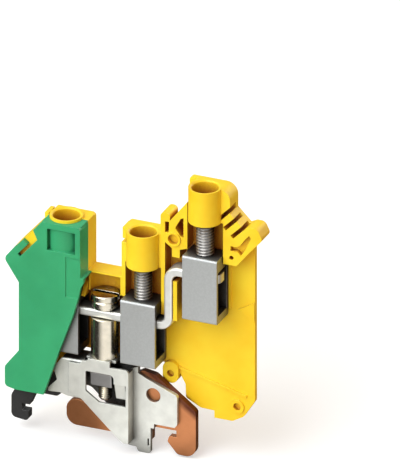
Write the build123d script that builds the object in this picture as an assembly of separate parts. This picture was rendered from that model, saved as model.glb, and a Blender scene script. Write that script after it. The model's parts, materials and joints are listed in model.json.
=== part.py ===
from build123d import *
from math import cos, radians
import os

# Earth terminal block for a 35 mm hat rail, shown opened from the front, in millimetres.
# X runs across the rail, Y runs along the rail away from the opened face, and Z points up.
# The origin is on the rail's centre line, level with the top of its flanges, at mid thickness.

# Block and walls
BLOCK_THICKNESS = 9.0
SKIN = 1.1
RIM_WALL = 0.9
PARTITION = 0.9
PARTITION_TIP_ROUND = 0.4
COLUMN_ROUND = 0.8
RIGHT_COLUMN_FLARE = 0.75
RIGHT_COLUMN_ROUND = 2.6

# Rail that the foot fits
RAIL_WIDTH = 35.0
RAIL_CHANNEL = 25.0
FLANGE_SHEET = 1.0
RAIL_CLEARANCE = 0.3

# Places of the four screws across the rail
LEFT_CLAMP_X = -7.55
RAIL_SCREW_X = 1.5
MIDDLE_CLAMP_X = 10.3
RIGHT_CLAMP_X = 24.7

# Folded bracket
BRACKET_TOP_Z = 15.6
BRACKET_SHEET = 0.6
BRACKET_CLEARANCE = 0.1
BRACKET_LEFT_X = -5.6
BRACKET_RIGHT_X = 8.2
BRACKET_FOOT_Z = -3.15
BRACKET_HEEL_Z = 6.0
BRACKET_LEFT_DROP = 1.6
BRACKET_SHOULDER_DROP = 1.2
BRACKET_CROWN_LEFT_X = -1.9
BRACKET_CROWN_RIGHT_X = 4.8
BRACKET_FOOT_ROUND = 0.8
BRACKET_NOTCH_WIDTH = 1.9
BRACKET_NOTCH_DEPTH = 1.3
RELIEF_RADIUS = 0.7
WINDOW_LEFT_X = -1.75
WINDOW_RIGHT_X = 4.8
WINDOW_TOP_DROP = 3.0
WINDOW_FOOT_Z = 5.6
WINDOW_CORNER = 1.0
TONGUE_TOP_Z = 10.6
TONGUE_FOOT_Z = 6.9
TONGUE_LEAN = 1.0
TONGUE_GAP = 0.2

# Clamp cages, which stand just above the bracket
CAGE_LENGTH = 8.0
CAGE_WIDTH = 6.4
CAGE_HEIGHT = 15.2
CAGE_WALL = 0.8
CAGE_FLOOR = 1.8
CAGE_ROOF = 3.0
CAGE_HEADROOM = 1.0
CAGE_GAP = 0.15
CAGE_REST = 0.2
CAGE_ROUND = 0.5
SEAM_WIDTH = 0.2
GRIP_GROOVES = 2
GRIP_PITCH = 1.3
GRIP_WIDTH = 0.5
GRIP_DEPTH = 0.25

# Current bar, one strip that steps up one level
LEVEL_RISE = 13.4
BAR_THICKNESS = 2.0
BAR_WIDTH = 4.0
BAR_BEND_RADIUS = 2.2
BAR_STEP_X = 16.85
BAR_LEFT_OVERHANG = 3.5
BAR_RIGHT_OVERHANG = 4.1
BAR_END_ROUND = 1.6
BAR_EDGE_ROUND = 0.5

# Clamp screws, M4
CLAMP_SCREW_LENGTH = 13.0
CLAMP_THREAD_RADIUS = 2.0
CLAMP_HEAD_RADIUS = 2.75
CLAMP_HEAD_HEIGHT = 2.6
THREAD_CLEARANCE = 0.05
SHANK_CLEARANCE = 0.25
TIP_CHAMFER = 0.4
SLOT_WIDTH = 1.0
SLOT_DEPTH = 1.2
HEAD_ROUND = 0.3

# Screw funnels
FUNNEL_RADIUS = 3.65
FUNNEL_BORE = 2.95
FUNNEL_FLOOR = 1.2
FUNNEL_DEPTH = 6.9
FUNNEL_CHAMFER = 0.3
LEFT_RIM_RISE = 0.6
COLLAR_INSET = 0.25
COLLAR_HEIGHT = 2.6
COLLAR_GAP = 1.0

# Rail screw, M3, with its sleeve, washer and square nut
RAIL_THREAD_RADIUS = 1.5
RAIL_HEAD_RADIUS = 3.1
RAIL_HEAD_HEIGHT = 2.8
RAIL_SCREW_REACH = 21.8
WASHER_RADIUS = 2.65
WASHER_HEIGHT = 0.8
WASHER_SPLIT = 0.5
SLEEVE_RADIUS = 3.15
SLEEVE_CLEARANCE = 0.2
NUT_SIDE = 5.1
NUT_HEIGHT = 2.9
NUT_DROP = 3.5
NUT_ROUND = 0.3

# Foot plates and rail hooks
FOOT_PLATE_SHEET = 1.0
FOOT_PLATE_LEFT_X = 7.2
FOOT_PLATE_RIGHT_X = 18.4
FOOT_PLATE_TOP_Z = 14.4
FOOT_PLATE_SEAT_Z = 1.4
FOOT_PLATE_STEP = 0.8
FOOT_DEPTH = 5.8
FOOT_HOLE_X = 12.85
FOOT_HOLE_Z = 8.3
FOOT_HOLE_RADIUS = 1.67
FOOT_SLIT_LENGTH = 1.7
FOOT_SLIT_WIDTH = 0.35
FOOT_SLIT_RISE = 1.8
COPPER_SHEET = 1.5
COPPER_JAW = 4.5
COPPER_LEFT_X = -7.75
COPPER_STEM_TOP_Z = 2.2
COPPER_GRIP = 1.7
COPPER_BEAK = 0.4
COPPER_TOE = 0.2
LEFT_PLATE_SHEET = 0.8
LEFT_PLATE_FOLD_ROUND = 0.55
LEFT_PLATE_TOP_Z = 14.5
LEFT_PLATE_RIGHT_X = -2.6
LEFT_PLATE_CROWN_X = -7.4
HOOK_THICKNESS = 2.0
HOOK_FRONT_Y = -0.2
HOOK_JAW = 2.5
HOOK_GRIP = 1.5
HOOK_SEAT = 1.8
HOOK_NECK = 3.2

# Housing outline
WALL_LEFT_X = -16.75
WALL_RIGHT_X = 34.85
HOUSING_FOOT_Z = 5.6
HOUSING_RIGHT_FOOT_Z = 3.6
FOOT_CUTOUT_Z = 14.7
ARM_LEFT_X = -20.0
ARM_TOP_Z = 15.1
NOSE_LEFT_X = -18.35
NOSE_DROP = 8.1
SHOULDER_TOP_X = -11.35
ENTRY_FLOOR_Z = 16.3
ENTRY_ROOF_Z = 30.0
GAP_FLOOR_Z = 35.0
GAP_LIP = 0.35
GAP_FUNNEL_FOOT_Z = 30.4
GAP_FUNNEL_WALL = 0.4
GAP_WALL_FOOT_Z = 29.6
SHOULDER_SUM = 85.3
VALLEY_X = 33.6
SHOULDER_FOOT_Z = 42.6

# Raised face between the middle and right columns
SLOPE_START_X = 16.5
SLOPE_RISE = 3.6
SLOPE_GRADE = 1.3
LOBE_LEFT_X = 14.3
LOBE_RISE = 5.3
LOBE_ROUND = 0.9
BRIDGE_CLEARANCE = 0.8
BRIDGE_NOTCH_LEFT_X = 17.0
BRIDGE_NOTCH_RIGHT_X = 18.8
BRIDGE_NOTCH_TOP_Z = 44.0
BRIDGE_NOTCH_FOOT_Z = 42.0
SOCKET_X = 17.33
SOCKET_Z = 46.3
SOCKET_RING_RADIUS = 1.7
SOCKET_RING_BORE = 1.2
SOCKET_RING_RISE = 0.3
SOCKET_RING_DEPTH = 0.9
SOCKET_HOLE_RADIUS = 0.5
SOCKET_DEPTH = 1.6

# Small moulded features
LUG_X = 15.6
LUG_FOOT_Z = 10.5
LUG_TOP_Z = 15.5
LUG_HALF = 1.8
LUG_ROUND = 1.7
LUG_HOLE_Z = 12.75
LUG_HOLE_RADIUS = 0.8
LUG_RISE = 1.0
CORNER_HOLE_X = 30.8
CORNER_HOLE_Z = 7.4
CORNER_HOLE_RADIUS = 0.85
CORNER_RING_RADIUS = 1.6
COMB_COUNT = 3
COMB_ANGLE = 45.0
COMB_START_X = 30.05
COMB_PITCH = 2.37
COMB_SLOT_WIDTH = 0.9
COMB_SLOT_LENGTH = 3.6
SHOULDER_RECESS_DEPTH = 1.2
SHOULDER_SOCKET_X = 30.8
SHOULDER_SOCKET_Z = 44.4
RIB_CLEARANCE = 0.2
RIB_REACH = 1.9
RELIEF_HEIGHT = 0.4
RELIEF_WIDTH = 0.5
DIVIDER_X = 31.0

# Green cover
POCKET_LEFT_X = -10.2
POCKET_RIGHT_X = -3.7
POCKET_FOOT_Z = 40.4
POCKET_TOP_Z = 45.5
COVER_BULGE_RADIUS = 4.2
PANEL_LEFT_X = -5.9
PANEL_FOOT_Z = 30.0
PANEL_TOP_Z = 39.5
PANEL_STEP = 0.2
STUB_END_X = -1.7
MARKER_START = 3.2
MARKER_END = 6.8
MARKER_FOOT = 10.4
MARKER_DEPTH = 2.2
MARKER_LEAN = 1.0
MARKER_SLIT = 0.75
MARKER_BOSS_START = 2.0
MARKER_BOSS_DEPTH = 2.8

# How far a cut reaches past the face that it opens
OVERCUT = 1.0

# Planes that the walls share
front = -BLOCK_THICKNESS / 2
back = BLOCK_THICKNESS / 2
front_inner = front + SKIN
back_inner = back - SKIN
parting = 0.0

# Levels that the clamps share, worked up from the bracket
cage_foot = BRACKET_TOP_Z + CAGE_REST
bar_underside = cage_foot + CAGE_HEIGHT - CAGE_ROOF - CAGE_HEADROOM - BAR_THICKNESS
bar_low = bar_underside + BAR_THICKNESS / 2
bar_high = bar_low + LEVEL_RISE
bar_low_top = bar_low + BAR_THICKNESS / 2
low_seat = bar_low_top + CLAMP_SCREW_LENGTH
high_seat = low_seat + LEVEL_RISE
low_rim = low_seat + FUNNEL_DEPTH
high_rim = high_seat + FUNNEL_DEPTH

# Sides of the chambers that hold the cages
chamber_half = CAGE_LENGTH / 2 + CAGE_GAP
left_chamber_left = LEFT_CLAMP_X - chamber_half
left_column_right = LEFT_CLAMP_X + chamber_half + PARTITION
middle_column_left = MIDDLE_CLAMP_X - chamber_half - PARTITION
middle_column_right = MIDDLE_CLAMP_X + chamber_half + PARTITION
right_column_left = RIGHT_CLAMP_X - chamber_half - PARTITION
right_column_right = RIGHT_CLAMP_X + chamber_half + PARTITION
right_column_edge = right_column_right + RIGHT_COLUMN_FLARE

# Ends of the rail's flanges as the foot sees them, with room to move
channel = RAIL_CHANNEL / 2 - RAIL_CLEARANCE
flange_end = RAIL_WIDTH / 2 + RAIL_CLEARANCE
flange_under = -FLANGE_SHEET - RAIL_CLEARANCE


def outlined(corners):
    """Flat face with corners given as X, Z and, where the corner is round, its radius."""
    sketch = Polygon(*[corner[:2] for corner in corners], align=None)
    for x, z, *rounding in corners:
        if rounding:
            corner = sketch.vertices().sort_by_distance((x, z, 0))[0]
            sketch = fillet(corner, rounding[0])
    return sketch


def slab(corners, near, far, wall=0.0):
    """Solid with an outline in X and Z, drawn in by a wall, from the near plane to the far plane in Y."""
    sketch = outlined(corners)
    if wall > 0:
        sketch = offset(sketch, amount=-wall, kind=Kind.INTERSECTION)
    plane = Plane(origin=(0, far, 0), x_dir=(1, 0, 0), z_dir=(0, -1, 0))
    return extrude(plane * sketch, amount=far - near, dir=(0, -1, 0))


def block(left, right, near, far, low, high):
    """Block between two planes on each axis."""
    size = (right - left, far - near, high - low)
    return Pos(left, near, low) * Box(*size, align=(Align.MIN, Align.MIN, Align.MIN))


def post(x, radius, low, high):
    """Upright cylinder on a screw's axis."""
    return Pos(x, 0, low) * Cylinder(radius, high - low, align=(Align.CENTER, Align.CENTER, Align.MIN))


def bore_along(x, z, radius, near, far):
    """Cylinder along Y, for holes and rings in the walls."""
    plane = Plane(origin=(x, near, z), x_dir=(1, 0, 0), z_dir=(0, 1, 0))
    return extrude(plane * Circle(radius), amount=far - near, dir=(0, 1, 0))


def slope_z(x):
    """Height of the slope between the middle and right columns."""
    return low_rim + SLOPE_RISE + SLOPE_GRADE * (x - SLOPE_START_X)


def lobe():
    """Corners of the round lobe at the foot of the slope, from left to right."""
    top = low_rim + LOBE_RISE
    foot = (SLOPE_START_X, slope_z(SLOPE_START_X))
    return [(LOBE_LEFT_X, top, LOBE_ROUND), (SLOPE_START_X, top, LOBE_ROUND), foot]


def shoulder_nose():
    """Corners of the right shoulder, from its top down to the right wall."""
    top = [(right_column_edge, SHOULDER_SUM - right_column_edge), (VALLEY_X, SHOULDER_SUM - VALLEY_X)]
    return top + [(35.0, 52.4, 1.0), (36.8, 52.4, 1.4), (38.0, 49.9, 1.0), (WALL_RIGHT_X, 46.2)]


def block_outline():
    """Outline of the whole block in X and Z, from the foot's left corner, going clockwise."""
    nose_z = low_rim - NOSE_DROP
    left_arm = [(-17.6, HOUSING_FOOT_Z), (ARM_LEFT_X, 6.1, 1.0), (ARM_LEFT_X, 10.8, 1.5)]
    left_wall = [(WALL_LEFT_X, ARM_TOP_Z), (WALL_LEFT_X, 31.4), (-20.2, 36.65, 1.4), (NOSE_LEFT_X, nose_z)]
    left_top = [(SHOULDER_TOP_X, low_rim), (left_column_right, low_rim, COLUMN_ROUND)]
    gap = [(left_column_right, GAP_FLOOR_Z), (middle_column_left, GAP_FLOOR_Z)]
    middle_top = [(middle_column_left, low_rim, COLUMN_ROUND), (LOBE_LEFT_X, low_rim)]
    slope_top = (right_column_left, slope_z(right_column_left))
    right_top = [slope_top, (right_column_left, high_rim, COLUMN_ROUND)]
    right_top.append((right_column_edge, high_rim, RIGHT_COLUMN_ROUND))
    right_foot = [(WALL_RIGHT_X, 9.3, 1.0), (32.2, 5.1, 1.5), (29.6, HOUSING_RIGHT_FOOT_Z, 1.0)]
    right_step = [(25.4, HOUSING_RIGHT_FOOT_Z), (25.4, 5.3), (22.2, 5.4, 2.0), (18.8, 7.2, 0.7)]
    lug_left = LUG_X - LUG_HALF
    lug_side = [(18.7, 10.3), (LUG_X + LUG_HALF, LUG_HOLE_Z), (lug_left, LUG_HOLE_Z)]
    under = [(lug_left, FOOT_CUTOUT_Z), (-7.0, FOOT_CUTOUT_Z), (-8.0, HOUSING_FOOT_Z)]
    left = left_arm + left_wall + left_top + gap + middle_top + lobe()
    return left + right_top + shoulder_nose() + right_foot + right_step + lug_side + under


def left_rim(near, far):
    """Edge wall of one half of the housing round the left column, open at the wire entry and the foot."""
    outline = block_outline()
    wall = slab(outline, near, far) - slab(outline, near, far, RIM_WALL)
    low = HOUSING_FOOT_Z - OVERCUT
    right = middle_column_left
    span = block(ARM_LEFT_X - OVERCUT, right, near, far, low, low_rim + OVERCUT)
    entry = block(ARM_LEFT_X, WALL_LEFT_X + 2 * RIM_WALL, near, far, ENTRY_FLOOR_Z, ENTRY_ROOF_Z)
    foot = block(ARM_LEFT_X + 2 * RIM_WALL, right, near, far, low, FOOT_CUTOUT_Z + RIM_WALL)
    floor_low = GAP_FLOOR_Z - RIM_WALL
    floor = block(left_column_right, right, near, far, floor_low, GAP_FLOOR_Z - GAP_LIP)
    return (wall & span) - entry - foot - floor


def shoulder_point(along, depth):
    """Point in X and Z on the left shoulder, at a distance from its top corner and below its face."""
    run = NOSE_LEFT_X - SHOULDER_TOP_X
    length = (run * run + NOSE_DROP * NOSE_DROP) ** 0.5
    ux = run / length
    uz = -NOSE_DROP / length
    return (SHOULDER_TOP_X + along * ux - depth * uz, low_rim + along * uz + depth * ux)


def shoulder_slab(corners, near, far):
    """Solid with an outline measured along the left shoulder and below it."""
    return slab([shoulder_point(*corner) for corner in corners], near, far)


def marker_boss(near, far):
    """Thick stretch of the left shoulder that the marker groove is cut in."""
    deep = MARKER_BOSS_DEPTH
    corners = [(MARKER_BOSS_START, 0), (MARKER_FOOT, 0), (MARKER_FOOT, deep), (MARKER_BOSS_START, deep)]
    return shoulder_slab(corners, near, far)


def marker_mouth():
    """Mouth of the marker groove in the cover's wall."""
    corners = [(MARKER_START, -OVERCUT), (MARKER_END, -OVERCUT), (MARKER_END, MARKER_DEPTH)]
    corners += [(MARKER_START + MARKER_LEAN, MARKER_DEPTH), (MARKER_START, 0)]
    return shoulder_slab(corners, front, front_inner)


def marker_slit():
    """Slit under the lower lip of the marker groove."""
    start = MARKER_END - MARKER_SLIT
    high = MARKER_DEPTH - MARKER_SLIT
    corners = [(start, high), (MARKER_FOOT, high), (MARKER_FOOT, MARKER_DEPTH), (start, MARKER_DEPTH)]
    return shoulder_slab(corners, front, front_inner)


def flanks(seat, left, right, rounding=COLUMN_ROUND):
    """Flanks that tie a screw funnel to the walls on both sides."""
    low = seat - FUNNEL_FLOOR
    top = seat + FUNNEL_DEPTH
    corners = [(left, low), (left, top, COLUMN_ROUND), (right, top, rounding), (right, low)]
    return slab(corners, parting, back_inner)


def funnel_bore(x, seat, rim):
    """Room inside a funnel for the screw's head and shank."""
    mouth = FUNNEL_BORE + FUNNEL_CHAMFER
    body = post(x, FUNNEL_BORE, seat, rim + OVERCUT)
    body += Pos(x, 0, rim - FUNNEL_CHAMFER / 2) * Cone(FUNNEL_BORE, mouth, FUNNEL_CHAMFER)
    return body + post(x, CLAMP_THREAD_RADIUS + SHANK_CLEARANCE, seat - FUNNEL_FLOOR - OVERCUT, seat)


def collar_gap():
    """Gap between the middle column's left wall and the round collar above it."""
    high = low_rim - COLLAR_HEIGHT
    left = middle_column_left
    right = MIDDLE_CLAMP_X - FUNNEL_RADIUS
    gap = block(left - OVERCUT, right, parting, back_inner, high - COLLAR_GAP, high)
    return gap + block(left, left + COLLAR_INSET, parting, back_inner, high, low_rim)


def comb_slots():
    """Slots across the right shoulder, at right angles to its slope."""
    slots = None
    for number in range(COMB_COUNT):
        x = COMB_START_X + number * COMB_PITCH * cos(radians(COMB_ANGLE))
        place = Pos(x, (parting + back_inner) / 2, SHOULDER_SUM - x) * Rot(0, -COMB_ANGLE, 0)
        slot = place * Box(2 * COMB_SLOT_LENGTH, back_inner - parting, COMB_SLOT_WIDTH)
        slots = slot if slots is None else slots + slot
    return slots


def bridge():
    """Raised face between the middle and right columns, with its recesses and its ringed socket."""
    wall_left = middle_column_right - PARTITION
    wall_right = right_column_left + PARTITION
    low = bar_low_top + BRIDGE_CLEARANCE
    corners = [(wall_left, low), (middle_column_right, low), (middle_column_right, 45.2)]
    corners += [(BRIDGE_NOTCH_LEFT_X, BRIDGE_NOTCH_TOP_Z), (BRIDGE_NOTCH_LEFT_X, BRIDGE_NOTCH_FOOT_Z)]
    corners += [(BRIDGE_NOTCH_RIGHT_X, BRIDGE_NOTCH_FOOT_Z), (BRIDGE_NOTCH_RIGHT_X, BRIDGE_NOTCH_TOP_Z)]
    corners += [(wall_right, 44.6), (wall_right, slope_z(wall_right))] + lobe()[::-1]
    body = slab(corners + [(LOBE_LEFT_X, low_rim), (wall_left, low_rim)], parting, back_inner)
    ring_top = parting - SOCKET_RING_RISE
    body += bore_along(SOCKET_X, SOCKET_Z, SOCKET_RING_RADIUS, ring_top, parting)
    body -= bore_along(SOCKET_X, SOCKET_Z, SOCKET_RING_BORE, ring_top, parting + SOCKET_RING_DEPTH)
    left_recess = [(15.35, 50.1), (16.3, 50.2), (16.2, 47.6), (15.35, 47.6)]
    right_recess = [(17.7, 49.0, 0.5), (19.0, 51.4), (right_column_left, 51.7)]
    right_recess += [(right_column_left, 47.0), (19.0, 47.2)]
    body -= slab(left_recess, parting, back_inner)
    body -= slab(right_recess, parting, back_inner)
    return body


def right_shoulder():
    """Raised shoulder right of the right column, with a recess and a socket."""
    left = right_column_right - PARTITION
    corners = [(left, SHOULDER_FOOT_Z), (32.0, SHOULDER_FOOT_Z)] + shoulder_nose()[::-1]
    body = slab(corners + [(left, SHOULDER_SUM - right_column_edge)], parting, back_inner)
    recess = [(34.9, 50.45), (35.35, 49.8), (34.2, 47.2), (33.0, 45.3), (32.1, 46.1), (30.6, 46.0)]
    recess += [(30.6, 47.2), (31.9, 47.1), (32.8, 47.65), (33.95, 49.3)]
    body -= slab(recess, parting, parting + SHOULDER_RECESS_DEPTH)
    deep = parting + SOCKET_DEPTH
    return body - bore_along(SHOULDER_SOCKET_X, SHOULDER_SOCKET_Z, SOCKET_HOLE_RADIUS, parting, deep)


def gap_floor():
    """Floor of the gap over the rail screw, with half a funnel below it."""
    outer = (middle_column_left - left_column_right) / 2
    half = block(left_column_right, middle_column_left, parting, back, GAP_FUNNEL_FOOT_Z, GAP_FLOOR_Z)
    ring = post(RAIL_SCREW_X, outer, GAP_FUNNEL_FOOT_Z, GAP_FLOOR_Z) & half
    floor = block(left_column_right - PARTITION, middle_column_left + PARTITION, parting, back_inner,
                  GAP_FLOOR_Z - GAP_LIP, GAP_FLOOR_Z)
    return floor + ring - post(RAIL_SCREW_X, outer - GAP_FUNNEL_WALL, GAP_FUNNEL_FOOT_Z, GAP_FLOOR_Z)


def gap_wall():
    """Wall left of the rail screw, below the gap's floor, with a slanting front edge."""
    side = [(back_inner, GAP_FLOOR_Z), (parting, GAP_FLOOR_Z)]
    side += [(parting + 1.1, 33.4), (parting - 1.9, GAP_WALL_FOOT_Z)]
    plane = Plane(origin=(left_column_right - PARTITION, 0, 0), x_dir=(0, 1, 0), z_dir=(1, 0, 0))
    wall = Polygon(*side, (back_inner, GAP_WALL_FOOT_Z), align=None)
    return extrude(plane * wall, amount=PARTITION, dir=(1, 0, 0))


def partitions():
    """Upright walls that guide the cages, from the parting plane to the back wall."""
    left_wall = left_chamber_left - PARTITION
    walls = block(left_wall, left_chamber_left, parting, back_inner, ENTRY_ROOF_Z + OVERCUT, low_rim)
    gap_side = left_column_right - PARTITION
    walls += block(gap_side, left_column_right, parting, back_inner, GAP_FLOOR_Z, low_rim)
    right = middle_column_left + PARTITION
    foot = GAP_FUNNEL_FOOT_Z
    tip = [(middle_column_left, foot, PARTITION_TIP_ROUND), (right, foot, PARTITION_TIP_ROUND)]
    return walls + slab(tip + [(right, low_rim), (middle_column_left, low_rim)], parting, back_inner)


def low_reliefs():
    """Shallow ribs on the back wall round the two wire chambers."""
    near = back_inner - RELIEF_HEIGHT
    floor = slab([(17.2, 14.5), (33.0, 10.4), (33.0, 9.8), (17.2, 13.9)], near, back_inner)
    divider = slab([(WALL_RIGHT_X, 33.0), (WALL_RIGHT_X, 28.6), (DIVIDER_X, 30.6)], near, back_inner)
    left = right_column_right - PARTITION
    return floor + divider + block(left, left + RELIEF_WIDTH, near, back_inner, 30.5, SHOULDER_FOOT_Z)


def lug():
    """Raised tab with a round foot, left of the foot of the housing."""
    left = LUG_X - LUG_HALF
    right = LUG_X + LUG_HALF
    foot = [(left, LUG_FOOT_Z, LUG_ROUND), (left, LUG_TOP_Z, LUG_ROUND), (right, LUG_TOP_Z, LUG_ROUND)]
    return slab(foot + [(right, LUG_FOOT_Z, LUG_ROUND)], back_inner - LUG_RISE, back)


def bar_rib():
    """Upright rib that stands beside the riser of the current bar."""
    left = BAR_STEP_X + BAR_THICKNESS / 2 + RIB_CLEARANCE
    low = bar_low_top + BRIDGE_CLEARANCE
    high = bar_high - BAR_THICKNESS - RIB_CLEARANCE
    return block(left, left + PARTITION, -RIB_REACH, back_inner, low, high)


def yellow_shell():
    """Back half of the housing: thin back wall, chamber walls and all three screw funnels."""
    funnels = [(LEFT_CLAMP_X, low_seat, low_rim + LEFT_RIM_RISE), (MIDDLE_CLAMP_X, low_seat, low_rim)]
    funnels.append((RIGHT_CLAMP_X, high_seat, high_rim))
    body = slab(block_outline(), back_inner, back)
    body += left_rim(parting, back_inner) + marker_boss(front_inner, back_inner)
    body += partitions() + gap_floor() + gap_wall() + bridge() + right_shoulder()
    body += low_reliefs() + bar_rib()
    body += flanks(low_seat, SHOULDER_TOP_X, left_column_right)
    body += flanks(low_seat, middle_column_left, middle_column_right)
    body += flanks(high_seat, RIGHT_CLAMP_X - FUNNEL_RADIUS, right_column_edge, RIGHT_COLUMN_ROUND)
    body -= comb_slots()
    for x, seat, rim in funnels:
        body += post(x, FUNNEL_RADIUS, seat - FUNNEL_FLOOR, rim)
    for x, seat, rim in funnels:
        body -= funnel_bore(x, seat, rim)
    ring_top = back_inner - RELIEF_HEIGHT
    body += lug() + bore_along(CORNER_HOLE_X, CORNER_HOLE_Z, CORNER_RING_RADIUS, ring_top, back)
    body -= bore_along(LUG_X, LUG_HOLE_Z, LUG_HOLE_RADIUS, back_inner - LUG_RISE, back_inner)
    body -= bore_along(CORNER_HOLE_X, CORNER_HOLE_Z, CORNER_HOLE_RADIUS, ring_top, back_inner + SKIN / 2)
    return body - collar_gap()


def cover_region():
    """What is left of the front cover: the left column, down to the slanting break."""
    foot = HOUSING_FOOT_Z - OVERCUT
    top = low_rim + OVERCUT
    left = ARM_LEFT_X - OVERCUT
    corners = [(left, top), (left, foot), (-11.35, foot), (-7.3, 16.9), (-4.3, 25.3), (-3.0, 29.9)]
    corners += [(-2.5, 32.4), (STUB_END_X, GAP_FLOOR_Z - RIM_WALL), (STUB_END_X, GAP_FLOOR_Z)]
    return corners + [(left_column_right, top)]


def green_cover():
    """Front half of the housing, broken off along a slanting line."""
    body = slab(block_outline(), front, front_inner)
    body += left_rim(front_inner, parting)
    low = low_seat - FUNNEL_FLOOR
    body += block(POCKET_LEFT_X - SKIN, POCKET_RIGHT_X + SKIN, front_inner, parting, low, low_rim)
    body = body & slab(cover_region(), front, parting)
    body -= marker_mouth() + marker_slit() + marker_boss(front_inner, parting)
    pocket = block(POCKET_LEFT_X, POCKET_RIGHT_X, front, parting, POCKET_FOOT_Z, POCKET_TOP_Z)
    body -= pocket - post(LEFT_CLAMP_X, COVER_BULGE_RADIUS, POCKET_FOOT_Z, POCKET_TOP_Z)
    body -= post(LEFT_CLAMP_X, FUNNEL_RADIUS + THREAD_CLEARANCE, low - OVERCUT, low_rim + OVERCUT)
    panel_near = front + PANEL_STEP
    return body - block(PANEL_LEFT_X, left_column_right, front, panel_near, PANEL_FOOT_Z, PANEL_TOP_Z)


def current_bar():
    """Flat bar with rounded edges that runs through the cages and steps up to the right one."""
    left = LEFT_CLAMP_X - BAR_LEFT_OVERHANG
    right = RIGHT_CLAMP_X + BAR_RIGHT_OVERHANG
    points = [(left, 0, bar_low), (BAR_STEP_X, 0, bar_low), (BAR_STEP_X, 0, bar_high), (right, 0, bar_high)]
    path = FilletPolyline(*points, radius=BAR_BEND_RADIUS)
    section = Plane(origin=(left, 0, bar_low), x_dir=(0, 1, 0), z_dir=(1, 0, 0))
    body = sweep(section * RectangleRounded(BAR_WIDTH, BAR_THICKNESS, BAR_EDGE_ROUND), path=path)
    half = BAR_WIDTH / 2
    ends = block(left, right, -half, half, bar_low - BAR_THICKNESS, bar_high + BAR_THICKNESS)
    body = body & fillet(ends.edges().filter_by(Axis.Z), BAR_END_ROUND)
    hole = RAIL_THREAD_RADIUS + SLEEVE_CLEARANCE
    return body - post(RAIL_SCREW_X, hole, bar_underside - OVERCUT, bar_low_top + OVERCUT)


def clamp_cage(x, bar_z):
    """Rectangular cage, open along the wire, with a thick threaded roof over the bar."""
    low = cage_foot + bar_z - bar_low
    high = low + CAGE_HEIGHT
    floor = low + CAGE_FLOOR
    roof = high - CAGE_ROOF
    left = x - CAGE_LENGTH / 2
    right = x + CAGE_LENGTH / 2
    half = CAGE_WIDTH / 2
    inner = half - CAGE_WALL
    shell = block(left, right, -half, half, low, high)
    body = fillet(shell.edges().filter_by(Axis.X), CAGE_ROUND)
    body -= block(left, right, -inner, inner, floor, roof)
    for step in range(-GRIP_GROOVES, GRIP_GROOVES + 1):
        groove_left = x + step * GRIP_PITCH - GRIP_WIDTH / 2
        body -= block(groove_left, groove_left + GRIP_WIDTH, -inner, inner, floor - GRIP_DEPTH, floor)
    body -= block(left, right, inner, half, roof - SEAM_WIDTH, roof)
    return body - post(x, CLAMP_THREAD_RADIUS + THREAD_CLEARANCE, roof, high)


def slotted_screw(x, tip, seat, thread_radius, head_radius, head_height):
    """Cheese head screw standing on its tip, with its head above the seat."""
    shank = post(x, thread_radius, tip, seat)
    shank = chamfer(shank.edges().sort_by(Axis.Z)[0], TIP_CHAMFER)
    top = seat + head_height
    head = post(x, head_radius, seat, top)
    head = fillet(head.edges().sort_by(Axis.Z)[-1], HEAD_ROUND)
    half = SLOT_WIDTH / 2
    return shank + head - block(x - head_radius, x + head_radius, -half, half, top - SLOT_DEPTH, top)


def clamp_screw(x, bar_z):
    """Clamp screw, with its tip on the bar and its head on the funnel's floor."""
    tip = bar_z + BAR_THICKNESS / 2
    seat = tip + CLAMP_SCREW_LENGTH
    return slotted_screw(x, tip, seat, CLAMP_THREAD_RADIUS, CLAMP_HEAD_RADIUS, CLAMP_HEAD_HEIGHT)


def rail_screw():
    """Screw that goes through the bar and the sleeve into the nut."""
    tip = bar_low_top - RAIL_SCREW_REACH
    seat = bar_low_top + WASHER_HEIGHT
    return slotted_screw(RAIL_SCREW_X, tip, seat, RAIL_THREAD_RADIUS, RAIL_HEAD_RADIUS, RAIL_HEAD_HEIGHT)


def spring_washer():
    """Split washer between the rail screw's head and the bar."""
    high = bar_low_top + WASHER_HEIGHT
    body = post(RAIL_SCREW_X, WASHER_RADIUS, bar_low_top, high)
    body -= post(RAIL_SCREW_X, RAIL_THREAD_RADIUS + SLEEVE_CLEARANCE, bar_low_top, high)
    return body - block(RAIL_SCREW_X, RAIL_SCREW_X + WASHER_SPLIT, 0, WASHER_RADIUS, bar_low_top, high)


def contact_sleeve():
    """Turned sleeve that carries the bar on the bracket."""
    body = post(RAIL_SCREW_X, SLEEVE_RADIUS, BRACKET_TOP_Z, bar_underside)
    return body - post(RAIL_SCREW_X, RAIL_THREAD_RADIUS + SLEEVE_CLEARANCE, BRACKET_TOP_Z, bar_underside)


def rail_nut():
    """Square nut held between the two webs of the bracket."""
    high = BRACKET_TOP_Z - NUT_DROP
    low = high - NUT_HEIGHT
    half = NUT_SIDE / 2
    body = block(RAIL_SCREW_X - half, RAIL_SCREW_X + half, -half, half, low, high)
    body = fillet(body.edges().filter_by(Axis.Z), NUT_ROUND)
    return body - post(RAIL_SCREW_X, RAIL_THREAD_RADIUS + THREAD_CLEARANCE, low, high)


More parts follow.
